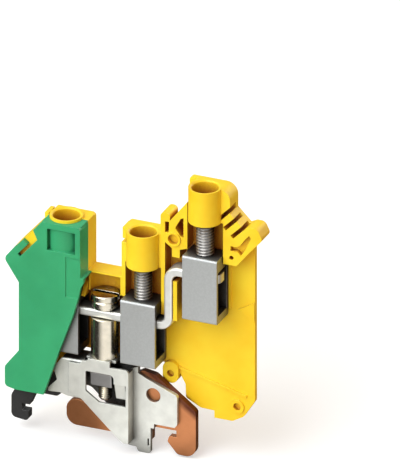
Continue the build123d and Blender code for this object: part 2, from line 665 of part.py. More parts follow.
def bracket_web():
    """Outline of one web of the bracket, with its slanting lower edge."""
    left_top = BRACKET_TOP_Z - BRACKET_LEFT_DROP
    right_top = BRACKET_TOP_Z - BRACKET_SHOULDER_DROP
    corners = [(BRACKET_LEFT_X, BRACKET_HEEL_Z), (BRACKET_LEFT_X, left_top)]
    corners += [(BRACKET_CROWN_LEFT_X - BRACKET_SHOULDER_DROP, left_top)]
    corners += [(BRACKET_CROWN_LEFT_X, BRACKET_TOP_Z)]
    corners += [(BRACKET_CROWN_RIGHT_X, BRACKET_TOP_Z), (BRACKET_CROWN_RIGHT_X, right_top)]
    corners += [(BRACKET_RIGHT_X, right_top, BRACKET_FOOT_ROUND), (BRACKET_RIGHT_X, BRACKET_FOOT_Z)]
    corners += [(7.0, BRACKET_FOOT_Z, BRACKET_FOOT_ROUND), (3.5, -0.1, 2.0)]
    return corners + [(-3.0, BRACKET_HEEL_Z, 2.0)]


def bracket_window():
    """Outline of the window that shows the nut."""
    top = BRACKET_TOP_Z - WINDOW_TOP_DROP
    right = BRACKET_RIGHT_X - BRACKET_SHEET
    corners = [(WINDOW_LEFT_X, 7.8, 0.4), (WINDOW_LEFT_X, top, 0.3), (WINDOW_RIGHT_X, top, WINDOW_CORNER)]
    corners += [(WINDOW_RIGHT_X, TONGUE_TOP_Z), (right, TONGUE_TOP_Z)]
    return corners + [(right, WINDOW_FOOT_Z), (1.4, WINDOW_FOOT_Z, 0.5)]


def tongue(near):
    """Tongue of the front web, bent inwards under the right end of the window."""
    sheet = BRACKET_SHEET
    lean = near + TONGUE_LEAN
    side = [(near, TONGUE_TOP_Z), (near + sheet, TONGUE_TOP_Z)]
    side += [(lean + sheet, TONGUE_FOOT_Z), (lean, TONGUE_FOOT_Z)]
    left = WINDOW_RIGHT_X + TONGUE_GAP
    right = BRACKET_RIGHT_X - BRACKET_SHEET - TONGUE_GAP
    plane = Plane(origin=(left, 0, 0), x_dir=(0, 1, 0), z_dir=(1, 0, 0))
    return extrude(plane * Polygon(*side, align=None), amount=right - left, dir=(1, 0, 0))


def folded_bracket():
    """Steel bracket folded from one sheet over the nut, with flanges that hold the foot plates."""
    sheet = BRACKET_SHEET
    near = front_inner + BRACKET_CLEARANCE
    far = back_inner - BRACKET_CLEARANCE
    crown_left = BRACKET_CROWN_LEFT_X
    crown_right = BRACKET_CROWN_RIGHT_X
    right_top = BRACKET_TOP_Z - BRACKET_SHOULDER_DROP - BRACKET_FOOT_ROUND
    plate_near = -FOOT_PLATE_SHEET / 2
    plate_far = FOOT_PLATE_SHEET / 2 + COPPER_SHEET
    flange_left = BRACKET_RIGHT_X - sheet
    body = slab(bracket_web(), near, near + sheet) - slab(bracket_window(), near, near + sheet)
    body += slab(bracket_web(), far - sheet, far)
    body += block(crown_left, crown_right, near, far, BRACKET_TOP_Z - sheet, BRACKET_TOP_Z)
    body += block(flange_left, BRACKET_RIGHT_X, near, plate_near, BRACKET_FOOT_Z, right_top)
    body += block(flange_left, BRACKET_RIGHT_X, plate_far, far, BRACKET_FOOT_Z, right_top)
    body += tongue(near)
    body -= bore_along(crown_left, BRACKET_TOP_Z, RELIEF_RADIUS, near, near + 2 * sheet)
    notch_left = crown_right - BRACKET_NOTCH_WIDTH / 2
    body -= block(notch_left, notch_left + BRACKET_NOTCH_WIDTH, near, near + 2 * sheet,
                  BRACKET_TOP_Z - BRACKET_NOTCH_DEPTH, BRACKET_TOP_Z)
    hole = RAIL_THREAD_RADIUS + SLEEVE_CLEARANCE
    return body - post(RAIL_SCREW_X, hole, BRACKET_TOP_Z - OVERCUT, BRACKET_TOP_Z)


def steel_foot_plate():
    """Steel plate with the notch that sits over the right flange of the rail."""
    left = FOOT_PLATE_LEFT_X
    right = FOOT_PLATE_RIGHT_X
    near = -FOOT_PLATE_SHEET / 2
    seat = FOOT_PLATE_SEAT_Z
    notch_left = channel + FOOT_PLATE_STEP
    corners = [(left, -4.7), (left, FOOT_PLATE_TOP_Z - 0.9), (9.3, FOOT_PLATE_TOP_Z), (9.3, 12.9)]
    corners += [(10.9, 12.1), (right, 9.0, 1.0), (right, 2.2, 0.8), (flange_end, seat), (notch_left, seat)]
    corners += [(notch_left, RAIL_CLEARANCE), (channel, RAIL_CLEARANCE), (channel, -FOOT_DEPTH, 0.6)]
    body = slab(corners + [(9.3, -FOOT_DEPTH, 0.6), (8.9, -4.7, 0.4)], near, -near)
    body -= bore_along(FOOT_HOLE_X, FOOT_HOLE_Z, FOOT_HOLE_RADIUS, near, -near)
    slit_left = channel - 2 * FOOT_SLIT_WIDTH
    slit_foot = FOOT_SLIT_RISE - FOOT_DEPTH
    slit_top = slit_foot + FOOT_SLIT_LENGTH
    return body - block(slit_left, slit_left + FOOT_SLIT_WIDTH, near, -near, slit_foot, slit_top)


def copper_foot_plate():
    """Copper plate behind the steel one, with a hook that grips the rail's right flange from below."""
    near = FOOT_PLATE_SHEET / 2
    right = flange_end + COPPER_JAW
    bridge_left = BRACKET_RIGHT_X + BRACKET_CLEARANCE
    stem = COPPER_STEM_TOP_Z
    tip = flange_end - COPPER_GRIP
    toe = flange_end + COPPER_TOE
    corners = [(-5.5, -2.8), (COPPER_LEFT_X, -2.4, 2.4), (COPPER_LEFT_X, 3.9, 2.4), (0.5, stem, 2.0)]
    corners += [(bridge_left, stem), (bridge_left, 12.2), (9.9, 13.2, 1.0), (12.9, 12.7, 1.0)]
    corners += [(right, 5.6, 1.2), (right, -5.4, 2.4), (toe, -5.3, 1.2), (tip - COPPER_BEAK, -2.6, 0.6)]
    corners += [(tip, flange_under, 0.3), (flange_end, flange_under), (flange_end, RAIL_CLEARANCE)]
    corners += [(channel, RAIL_CLEARANCE), (channel, -2.8)]
    return slab(corners, near, near + COPPER_SHEET)


def left_foot_plate():
    """Steel plate left of the bracket, with a stepped edge and a flange folded back at its top."""
    sheet = LEFT_PLATE_SHEET
    near = front_inner + BRACKET_CLEARANCE + BRACKET_SHEET
    top = LEFT_PLATE_TOP_Z
    right = LEFT_PLATE_RIGHT_X
    edge = [(right, top), (LEFT_PLATE_CROWN_X, top), (-9.5, 11.7, 1.2), (-8.6, 8.9, 0.5)]
    edge += [(-10.75, 6.6, 0.4), (-10.75, 5.8, 0.3), (-8.0, 6.0), (-6.1, 5.5), (right, 5.5)]
    body = slab(edge, near, near + sheet)
    body += block(LEFT_PLATE_CROWN_X, right, near, HOOK_FRONT_Y + HOOK_THICKNESS, top - sheet, top)
    fold = body.edges().filter_by(Axis.X).group_by(Axis.Z)[-1].sort_by(Axis.Y)[0]
    return fillet(fold, LEFT_PLATE_FOLD_ROUND)


def rail_hook():
    """Dark hook that grips the rail's left flange, seated under the left plate's flange."""
    seat = LEFT_PLATE_TOP_Z - LEFT_PLATE_SHEET
    tip = HOOK_GRIP - flange_end
    neck = HOOK_NECK - flange_end
    left = -flange_end - HOOK_JAW
    outer = [(-16.9, 8.2, 1.0), (left, 2.0, 2.0), (left, -3.2, 1.2), (tip, -3.7, 0.8)]
    throat = [(tip, flange_under), (-flange_end, flange_under), (-flange_end, RAIL_CLEARANCE)]
    inner = [(HOOK_SEAT - flange_end, RAIL_CLEARANCE), (neck, 3.6, 1.0), (-9.6, 3.6, 1.0)]
    inner += [(-7.6, 5.5, 1.0), (-4.6, 7.0)]
    corners = outer + throat + inner + [(-4.6, seat), (-7.2, seat), (-7.2, 8.6), (-10.0, 8.2)]
    return slab(corners, HOOK_FRONT_Y, HOOK_FRONT_Y + HOOK_THICKNESS)


def build():
    """All the pieces of the block by name."""
    clamps = {"left": (LEFT_CLAMP_X, bar_low), "middle": (MIDDLE_CLAMP_X, bar_low)}
    clamps["right"] = (RIGHT_CLAMP_X, bar_high)
    pieces = {"yellow_shell": yellow_shell(), "green_cover": green_cover(), "current_bar": current_bar()}
    for side, (x, bar_z) in clamps.items():
        pieces[side + "_clamp_cage"] = clamp_cage(x, bar_z)
        pieces[side + "_clamp_screw"] = clamp_screw(x, bar_z)
    pieces["rail_screw"] = rail_screw()
    pieces["spring_washer"] = spring_washer()
    pieces["rail_nut"] = rail_nut()
    pieces["contact_sleeve"] = contact_sleeve()
    pieces["folded_bracket"] = folded_bracket()
    pieces["steel_foot_plate"] = steel_foot_plate()
    pieces["copper_foot_plate"] = copper_foot_plate()
    pieces["left_foot_plate"] = left_foot_plate()
    pieces["rail_hook"] = rail_hook()
    return pieces


os.makedirs("parts", exist_ok=True)
for name, piece in build().items():
    export_step(piece, "parts/" + name + ".step")
    print(name, round(piece.volume, 2), "mm3", len(piece.solids()), "solid")
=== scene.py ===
import json
from math import atan2, cos, pi, radians, sin

import bmesh
import bpy
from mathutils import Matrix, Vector


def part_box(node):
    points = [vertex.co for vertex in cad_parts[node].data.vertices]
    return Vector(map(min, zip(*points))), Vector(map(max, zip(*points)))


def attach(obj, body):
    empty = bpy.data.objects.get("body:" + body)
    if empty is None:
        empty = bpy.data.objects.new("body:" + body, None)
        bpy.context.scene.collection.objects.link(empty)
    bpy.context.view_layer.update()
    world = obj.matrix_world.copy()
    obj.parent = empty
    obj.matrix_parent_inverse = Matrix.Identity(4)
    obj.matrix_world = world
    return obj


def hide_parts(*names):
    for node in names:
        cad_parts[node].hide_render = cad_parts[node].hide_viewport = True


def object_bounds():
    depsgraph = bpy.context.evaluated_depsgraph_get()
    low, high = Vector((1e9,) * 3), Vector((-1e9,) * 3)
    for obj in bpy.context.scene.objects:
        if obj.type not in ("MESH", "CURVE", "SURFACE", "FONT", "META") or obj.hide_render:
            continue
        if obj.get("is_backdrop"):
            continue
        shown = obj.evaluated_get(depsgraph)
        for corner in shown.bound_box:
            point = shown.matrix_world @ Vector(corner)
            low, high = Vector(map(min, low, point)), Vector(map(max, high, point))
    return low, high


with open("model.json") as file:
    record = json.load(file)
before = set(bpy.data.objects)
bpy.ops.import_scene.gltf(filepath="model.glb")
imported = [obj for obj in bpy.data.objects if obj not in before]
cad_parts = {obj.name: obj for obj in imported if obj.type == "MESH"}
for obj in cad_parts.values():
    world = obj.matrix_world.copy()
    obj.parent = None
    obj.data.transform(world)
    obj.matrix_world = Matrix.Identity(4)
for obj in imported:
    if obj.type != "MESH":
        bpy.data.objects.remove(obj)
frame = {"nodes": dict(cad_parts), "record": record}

bl_info = {
    "name": "Earth Terminal Block",
    "version": (1, 0, 0),
    "blender": (4, 5, 0),
    "location": "3D View > Sidebar > Terminal Block",
    "description": "Gives the packed solids of an earth terminal block their materials, threads and studio",
    "category": "Object",
}

MM = 0.001
PHOTO_WIDTH = 400
PHOTO_HEIGHT = 473
UP = Vector((0, 0, 1))
WHITE = (1.0, 1.0, 1.0)

# Fineness of the turned and cut meshes
ROUND_STEPS = 48
WASHER_STEPS = 56
HEAD_ROUND_STEPS = 4
ROWS_PER_PITCH = 8
SHARP_ANGLE = radians(35)
SAME_PLACE = 0.002 * MM

# Form of the threads and of the spring washer
THREAD_SURFACE = 0.02 * MM
THREAD_FLANK = 1.25
THREAD_ROOT = 0.12
WASHER_HEIGHT_SHARE = 0.7


def span(low, high, to_low, to_high):
    """Range of a value, and the range that it is moved to."""
    return {"From Min": low, "From Max": high, "To Min": to_low, "To Max": to_high}


# Grain of the patterns in millimetres. The spark-eroded, crystalline and rolled ones are really some
# hundredths of a millimetre fine, and are drawn coarse enough to show.
MOULD_CLOUD = 9.0
MOULD_GLOSS = 3.0
MOULD_GRAIN = 0.22
SHEET_CLOUD = 2.6
SHEET_LINES = 0.35
ZINC_CRYSTAL = 0.5
ZINC_GLOSS = 1.4
ZINC_GRAIN = 0.3
COPPER_PATCH = 4.5
COPPER_LINES = 0.3
BLACK_GLOSS = 1.1
BLACK_GRAIN = 0.25
PAPER_CLOUD = 60.0

# Depth of the relief
MOULD_DEPTH = 0.012 * MM
METAL_DEPTH = 0.006 * MM
COPPER_DEPTH = 0.008 * MM
BLACK_DEPTH = 0.01 * MM

# Lighter and darker tones: a factor, and a lift where there is one
# The EDGE tones lighten the edges: wear together with a painted highlight. The PATCH tones darken random
# patches.
PLASTIC_EDGE = (1.12, 0.02)
METAL_EDGE = (1.15, 0.03)
METAL_PATCH = (0.86,)
ZINC_EDGE = (1.35,)
COPPER_EDGE = (1.3, 0.04)
BLACK_EDGE = (1.8,)
PAPER_PATCH = (0.98,)
# Share of the lighter edge tone on plastic: wear and painted highlight along the edges
PLASTIC_WEAR_AND_HIGHLIGHT = 0.35

# Spans of the patterns, the hollows and the reflected cards
EDGE_TURN = span(0.99, 0.86, 0.0, 1.0)
CLOUDS = span(0.35, 0.7, 0.0, 1.0)
# Painted shade in plastic's hollows: how fast it grows as the space round a point closes in
PLASTIC_HOLLOW = span(0.12, 0.5, 1.0, 0.0)
PLASTIC_GLOSS = span(0.3, 0.7, 0.38, 0.48)
ZINC_HAZE = span(0.2, 0.7, 0.0, 0.5)
ZINC_ROUGHNESS = span(0.3, 0.7, 0.36, 0.48)
COPPER_PATCHES = span(0.45, 0.7, 0.0, 0.2)
COPPER_ROUGHNESS = span(0.0, 1.0, 0.36, 0.52)
BLACK_ROUGHNESS = span(0.3, 0.7, 0.42, 0.6)
PAPER_PATCHES = span(0.3, 0.7, 0.0, 1.0)
SKY_CARD = span(-0.3, 0.6, 0.05, 1.1)
WARM_SIDE = span(0.0, 0.7, 0.0, 1.0)
FLOOR_CARD = span(0.45, 0.92, 0.03, 1.2)
# Painted shade in metal's hollows: how far it fades out and how dark it gets
HOLLOW_FADE = 0.47
DEEPEST_SHADE = 0.97
# How dark the painted shadow along the copper plate's top gets
TOP_SHADOW_SHARE = 0.9
SMOOTHER_LINES = 0.06
ROUGHER_LINES = 0.07


def linear(code):
    """Linear colour of a hex sRGB code."""
    channels = [int(code[start:start + 2], 16) / 255 for start in (1, 3, 5)]
    return [c / 12.92 if c <= 0.04045 else ((c + 0.055) / 1.055) ** 2.4 for c in channels]


def length(name, description, millimetres):
    """Property that holds a real length."""
    return bpy.props.FloatProperty(name=name, description=description, default=millimetres * MM,
                                   unit="LENGTH", subtype="DISTANCE", precision=5)


def angle(name, description, degrees):
    """Property that holds an angle."""
    return bpy.props.FloatProperty(name=name, description=description, default=radians(degrees),
                                   unit="ROTATION", subtype="ANGLE")


def number(name, description, value, **limits):
    """Property that holds a share, a strength or a scale."""
    return bpy.props.FloatProperty(name=name, description=description, default=value, **limits)


def colour(name, description, code):
    """Property that holds a colour."""
    return bpy.props.FloatVectorProperty(name=name, description=description, default=linear(code),
                                         subtype="COLOR", size=3, min=0, max=1)


class BlockSizes(bpy.types.PropertyGroup):
    """Real sizes of the fine forms that the solids leave plain."""

    clamp_pitch: length("Clamp Pitch", "Pitch of the M4 clamp screws", 0.7)
    clamp_thread: length("Clamp Thread", "Outer radius of the M4 clamp screws' thread", 2.0)
    clamp_head: length("Clamp Head", "Height of a clamp screw's head", 2.6)
    rail_pitch: length("Rail Pitch", "Pitch of the M3 rail screw", 0.5)
    rail_thread: length("Rail Thread", "Outer radius of the M3 rail screw's thread", 1.5)
    rail_head: length("Rail Head", "Height of the rail screw's head", 2.8)
    thread_share: number("Thread Share", "Thread depth over its pitch", 0.58, min=0, max=1)
    tip_chamfer: length("Tip Chamfer", "Chamfer at the tip of a screw", 0.4)
    head_round: length("Head Round", "Rounded upper edge of a screw's head", 0.3)
    slot_width: length("Slot Width", "Width of a screwdriver slot", 1.0)
    slot_depth: length("Slot Depth", "Depth of a screwdriver slot", 1.2)
    washer_wire: length("Washer Wire", "Width of the spring washer's section", 1.0)
    washer_gap: angle("Washer Gap", "Angle that the spring washer's ends leave open", 14)
    # Also the width of the lighter edge band of wear and painted highlight
    edge_softening: length("Edge Softening", "Width of the softened edges of plastic and sheet", 0.14)
    head_groove: length("Head Groove", "Depth of the turned groove round the rail screw's head", 0.22)
    groove_height: length("Groove Height", "Height of that groove above the head's seat", 1.35)
    shade_reach: length("Shade Reach", "How far a hollow's walls darken its colour", 9)
    # Painted shadow: the copper plate darkens above a sloping line, under the housing above; these set that
    # line
    top_shadow_slope: number("Top Shadow Slope", "Fall of the tarnish's line to the right", 0.755)
    top_shadow_low: length("Top Shadow Low", "Level at mid width on the copper plate where tarnish begins", 20)
    top_shadow_high: length("Top Shadow High", "Level at mid width where it is full", 21.6)


class BlockColours(bpy.types.PropertyGroup):
    """Colours of the materials as they are without light or shade, with the painted shade of their hollows
    and the tones of the lights.
    """

    yellow: colour("Yellow", "Yellow half of the housing", "#FFDE33")
    yellow_deep: colour("Deep Yellow", "Thicker stretches of the yellow moulding", "#FACE22")
    # Painted shade: orange-brown painted into the yellow's hollows in place of their shade and the light
    # they bounce
    yellow_painted_shade: colour("Yellow Shade", "Yellow in the hollows, where it lights itself", "#A8561A")
    green: colour("Green", "Green half of the housing", "#3BAE78")
    green_deep: colour("Deep Green", "Thicker stretches of the green moulding", "#34A06D")
    # Painted shade: near-black green painted into the green's hollows in place of their shade
    green_painted_shade: colour("Green Shade", "Green in the hollows", "#083A28")
    zinc: colour("Zinc", "Zinc plating of the clamp cages", "#B3B7B8")
    steel: colour("Steel", "Bright sheet of the bracket and plates", "#E4E7E2")
    nickel: colour("Nickel", "Plating of the rail screw and the sleeve", "#E8DFCB")
    tin: colour("Tin", "Tin plating of the current bar", "#EDEEEA")
    screw: colour("Screw", "Steel of the clamp screws", "#A8A5A2")
    # Painted shade: the near black that metal is coloured with in its hollows
    metal_painted_shade: colour("Metal Shade", "What metal shows in the hollows", "#0E0B09")
    copper: colour("Copper", "Bare copper plate", "#CC8658")
    # Dark copper serves both the random tarnish spots and the painted shadow along the plate's top
    copper_dark: colour("Dark Copper", "Tarnish on the copper plate", "#623424")
    black_steel: colour("Blackened Steel", "Left rail hook", "#3C3C3D")
    floor: colour("Floor", "Pale studio floor", "#DCDDDE")
    floor_bounce: colour("Floor Bounce", "Tone of the floor as its light reaches the block", "#B4A48C")
    fill: colour("Fill", "Tone of the even light", "#FFFCF8")
    warm: colour("Warm Fill", "Tone of the even light from the right", "#FFC48E")
    lamp: colour("Lamp", "Tone of the lamps", "#FCFFFF")


class StudioSettings(bpy.types.PropertyGroup):
    """Camera and light."""

    turn: angle("Camera Turn", "Turn of the camera to the right of the block's front", 23)
    rise: angle("Camera Rise", "Height of the camera above the level", 26.5)
    scale: number("Picture Scale", "Pixels of the photograph per millimetre", 4.671)
    distance: length("Camera Distance", "Distance from the camera to the block", 600)
    aim: bpy.props.FloatVectorProperty(name="Aim", description="Point at the middle of the picture", size=3,
                                       default=(13.12 * MM, 24.45 * MM, 34.87 * MM), subtype="XYZ",
                                       unit="LENGTH")
    key_turn: angle("Key Turn", "Direction of the main lamp, left of the block's front", 35)
    key_rise: angle("Key Rise", "Height of the main lamp above the level", 55)
    key_power: number("Key Power", "Strength of the main lamp", 1.9)
    front_turn: angle("Front Turn", "Direction of the second lamp, left of the block's front", 8)
    front_rise: angle("Front Rise", "Height of the second lamp above the level", 18)
    front_power: number("Front Power", "Strength of the second lamp", 1.6)
    back_turn: angle("Back Turn", "Direction of the lamp behind the block, left of its front", 205)
    back_rise: angle("Back Rise", "Height of the lamp behind the block", 10)
    back_power: number("Back Power", "Strength of the lamp behind the block", 1.5)
    lamp_spread: angle("Lamp Spread", "Apparent size of the lamps", 50)
    sky_power: number("Sky Power", "Strength of the even light", 0.42)
    card_turn: angle("Card Turn", "Middle of the bright floor that metal reflects, right of the front", 32)
    floor_lift: number("Floor Lift", "How far the floor's paper is lit up to white", 0.52)
    floor_reach: length("Floor Reach", "Half the width of the studio floor", 4000)


def add_node(tree, kind, inputs=None, **settings):
    """New shader node with its settings, and its inputs set or linked by name or number."""
    node = tree.nodes.new(kind)
    for name, value in settings.items():
        setattr(node, name, value)
    for key, value in (inputs or {}).items():
        socket = node.inputs[key]
        if isinstance(value, bpy.types.NodeSocket):
            tree.links.new(value, socket)
        elif socket.type == "RGBA":
            socket.default_value = (*value, 1.0)
        else:
            socket.default_value = value
    return node


def new_material(name):
    """Material with only its output, and that output's tree."""
    material = bpy.data.materials.new(name)
    material.use_nodes = True
    material.node_tree.nodes.clear()
    return material, material.node_tree


def finish_material(tree, surface):
    """Joins a surface to the material's output."""
    add_node(tree, "ShaderNodeOutputMaterial", {"Surface": surface.outputs[0]})


def toned(tone, factor, lift=0.0):
    """Lighter or darker tone of a colour."""
    return [min(1.0, value * factor + lift) for value in tone]


def place_on(tree):
    """Place on the object, in millimetres."""
    place = add_node(tree, "ShaderNodeTexCoord").outputs["Object"]
    return add_node(tree, "ShaderNodeVectorMath", {0: place, "Scale": 1 / MM}, operation="SCALE").outputs[0]


def patches(tree, place, grain, shades, detail=3.0):
    """Value that drifts over the surface in soft patches of a given size."""
    cloud = add_node(tree, "ShaderNodeTexNoise", {"Vector": place, "Scale": 1 / grain, "Detail": detail})
    return add_node(tree, "ShaderNodeMapRange", {"Value": cloud.outputs["Fac"], **shades}).outputs[0]


def drawn_lines(tree, place, along, grain):
    """Fine rolled or turned lines, drawn out along the axes that are given small."""
    drawn = add_node(tree, "ShaderNodeVectorMath", {0: place, 1: along}, operation="MULTIPLY").outputs[0]
    lines = add_node(tree, "ShaderNodeTexNoise", {"Vector": drawn, "Scale": 1 / grain, "Detail": 4.0})
    return lines.outputs["Fac"]


def relief(tree, place, grain, depth, normal, detail=3.0):
    """Normal with a fine even grain in it."""
    height = add_node(tree, "ShaderNodeTexNoise", {"Vector": place, "Scale": 1 / grain, "Detail": detail})
    return add_node(tree, "ShaderNodeBump", {
        "Height": height.outputs["Fac"], "Distance": depth, "Normal": normal}).outputs[0]


def edges(tree, radius):
    """Softened normal near edges, and a mask that is 1 on them."""
    soft = add_node(tree, "ShaderNodeBevel", {"Radius": radius}, samples=6).outputs[0]
    plain = add_node(tree, "ShaderNodeNewGeometry").outputs["Normal"]
    same = add_node(tree, "ShaderNodeVectorMath", {0: soft, 1: plain}, operation="DOT_PRODUCT")
    edge = add_node(tree, "ShaderNodeMapRange", {"Value": same.outputs["Value"], **EDGE_TURN})
    return soft, edge.outputs[0]


def hollow(tree, reach, shades):
    """Share of shade painted into a colour at a point, from how much of the space round it is walled in."""
    clear = add_node(tree, "ShaderNodeAmbientOcclusion", {"Distance": reach}, samples=8).outputs["AO"]
    return add_node(tree, "ShaderNodeMapRange", {"Value": clear, **shades}).outputs[0]


def moulded_plastic(name, plain, deep, shade, sizes):
    """Glass-filled nylon, injection moulded with a fine spark-eroded texture, and painted shade in its
    hollows.
    """
    material, tree = new_material(name)
    place = place_on(tree)
    soft, edge = edges(tree, sizes.edge_softening)
    cloud = patches(tree, place, MOULD_CLOUD, CLOUDS)
    painted_shade_share = hollow(tree, sizes.shade_reach, PLASTIC_HOLLOW)
    skin = add_node(tree, "ShaderNodeMix", {0: cloud, 6: plain, 7: deep}, data_type="RGBA").outputs[2]
    # Painted shade: the colour goes over to the shade colour where the space round it is walled in
    body = add_node(tree, "ShaderNodeMix", {0: painted_shade_share, 6: skin, 7: shade}, data_type="RGBA").outputs[2]
    # Lighter band along the edges: wear and painted highlight
    worn_and_highlit = add_node(tree, "ShaderNodeMath", {0: edge, 1: PLASTIC_WEAR_AND_HIGHLIGHT}, operation="MULTIPLY").outputs[0]
    lighter = toned(plain, *PLASTIC_EDGE)
    finish_material(tree, add_node(tree, "ShaderNodeBsdfPrincipled", {
        "Base Color": add_node(tree, "ShaderNodeMix", {0: worn_and_highlit, 6: body, 7: lighter},
                               data_type="RGBA").outputs[2],
        "Roughness": patches(tree, place, MOULD_GLOSS, PLASTIC_GLOSS),
        "Specular IOR Level": 0.35,
        "Subsurface Weight": 0.1,
        "Subsurface Radius": (1.0, 0.6, 0.2),
        "Subsurface Scale": 0.7 * MM,
        "Normal": relief(tree, place, MOULD_GRAIN, MOULD_DEPTH, soft, detail=2.0),
    }))
    return material


def yellow_nylon(name, tones, sizes):
    """Yellow glass-filled nylon of the housing's back half."""
    # A satin skin, a little deeper where it is thick, painted orange-brown in its hollows as shade
    return moulded_plastic(name, tones.yellow, tones.yellow_deep, tones.yellow_painted_shade, sizes)


def green_nylon(name, tones, sizes):
    """Green glass-filled nylon of the cover."""
    # The same satin skin, painted a green near black in its hollows as shade
    return moulded_plastic(name, tones.green, tones.green_deep, tones.green_painted_shade, sizes)


def shaded_metal(tree, body, edge, brighter, shade, sizes, clear):
    """Colour of a metal with its brighter edges of wear and painted highlight, darkened by painted shade
    until a share of the space round it is clear.
    """
    painted_shade_share = hollow(tree, sizes.shade_reach, span(clear - HOLLOW_FADE, clear, DEEPEST_SHADE, 0.0))
    edged = add_node(tree, "ShaderNodeMix", {0: edge, 6: body, 7: brighter}, data_type="RGBA").outputs[2]
    return add_node(tree, "ShaderNodeMix", {0: painted_shade_share, 6: edged, 7: shade}, data_type="RGBA").outputs[2]


def rolled_metal(name, tone, shade, sizes, along, roughness, metallic, clear):
    """Rolled, turned or plated metal with fine lines along its sheet, brighter edges of wear and painted
    highlight, and painted shade in its hollows.
    """
    material, tree = new_material(name)
    place = place_on(tree)
    soft, edge = edges(tree, sizes.edge_softening)
    lines = drawn_lines(tree, place, along, SHEET_LINES)
    cloud = patches(tree, place, SHEET_CLOUD, CLOUDS)
    darker = toned(tone, *METAL_PATCH)
    body = add_node(tree, "ShaderNodeMix", {0: cloud, 6: tone, 7: darker}, data_type="RGBA").outputs[2]
    gloss = span(0.3, 0.7, roughness - SMOOTHER_LINES, roughness + ROUGHER_LINES)
    finish_material(tree, add_node(tree, "ShaderNodeBsdfPrincipled", {
        "Base Color": shaded_metal(tree, body, edge, toned(tone, *METAL_EDGE), shade, sizes, clear),
        "Metallic": metallic,
        "Roughness": add_node(tree, "ShaderNodeMapRange", {"Value": lines, **gloss}).outputs[0],
        "Normal": add_node(tree, "ShaderNodeBump", {
            "Height": lines, "Distance": METAL_DEPTH, "Normal": soft}).outputs[0],
    }))
    return material


def bright_rolled_steel(name, tones, sizes):
    """Bright rolled steel sheet of the bracket and the steel foot plates."""
    # A pale, slightly clouded grey with fine upright lines and a soft sheen
    return rolled_metal(name, tones.steel, tones.metal_painted_shade, sizes, along=(1.0, 1.0, 0.08), roughness=0.4,
                        metallic=0.45, clear=0.75)


def tin_plated_copper(name, tones, sizes):
    """Tin plated copper of the current bar."""
    # A milky white metal with faint lines along its length, and no sharp reflection
    return rolled_metal(name, tones.tin, tones.metal_painted_shade, sizes, along=(0.1, 1.0, 1.0), roughness=0.42,
                        metallic=0.7, clear=0.5)


def nickel_plated_steel(name, tones, sizes):
    """Nickel plated turned steel of the rail screw, the washer and the sleeve."""
    # A warm, bright metal with turned rings, light in its middle and dark at its sides, darker still where
    # painted shade fills its hollows
    return rolled_metal(name, tones.nickel, tones.metal_painted_shade, sizes, along=(1.0, 1.0, 4.0), roughness=0.22,
                        metallic=1.0, clear=0.5)


def oiled_screw_steel(name, tones, sizes):
    """Thread-rolled steel of the clamp screws and the rail nut, lightly oiled."""
    # A duller grey with dark flanks, deepened by painted shade, and a thin bright line on each turn, lit
    # further by a painted edge highlight
    return rolled_metal(name, tones.screw, tones.metal_painted_shade, sizes, along=(1.0, 1.0, 3.0), roughness=0.36,
                        metallic=0.95, clear=0.6)


def zinc_plated_steel(name, tones, sizes):
    """Zinc plated steel of the clamp cages, folded from sheet and barrel plated."""
    # A matt, even grey with a faint crystalline haze, painted black as shade inside the cage, and a painted
    # highlight on its edges
    material, tree = new_material(name)
    place = place_on(tree)
    soft, edge = edges(tree, sizes.edge_softening)
    cells = add_node(tree, "ShaderNodeTexVoronoi", {"Vector": place, "Scale": 1 / ZINC_CRYSTAL})
    haze = add_node(tree, "ShaderNodeMapRange", {"Value": cells.outputs["Distance"], **ZINC_HAZE}).outputs[0]
    darker = toned(tones.zinc, *METAL_PATCH)
    brighter = toned(tones.zinc, *ZINC_EDGE)
    body = add_node(tree, "ShaderNodeMix", {0: haze, 6: tones.zinc, 7: darker}, data_type="RGBA").outputs[2]
    finish_material(tree, add_node(tree, "ShaderNodeBsdfPrincipled", {
        "Base Color": shaded_metal(tree, body, edge, brighter, tones.metal_painted_shade, sizes, clear=0.9),
        "Metallic": 0.5,
        "Roughness": patches(tree, place, ZINC_GLOSS, ZINC_ROUGHNESS),
        "Normal": relief(tree, place, ZINC_GRAIN, METAL_DEPTH, soft),
    }))
    return material


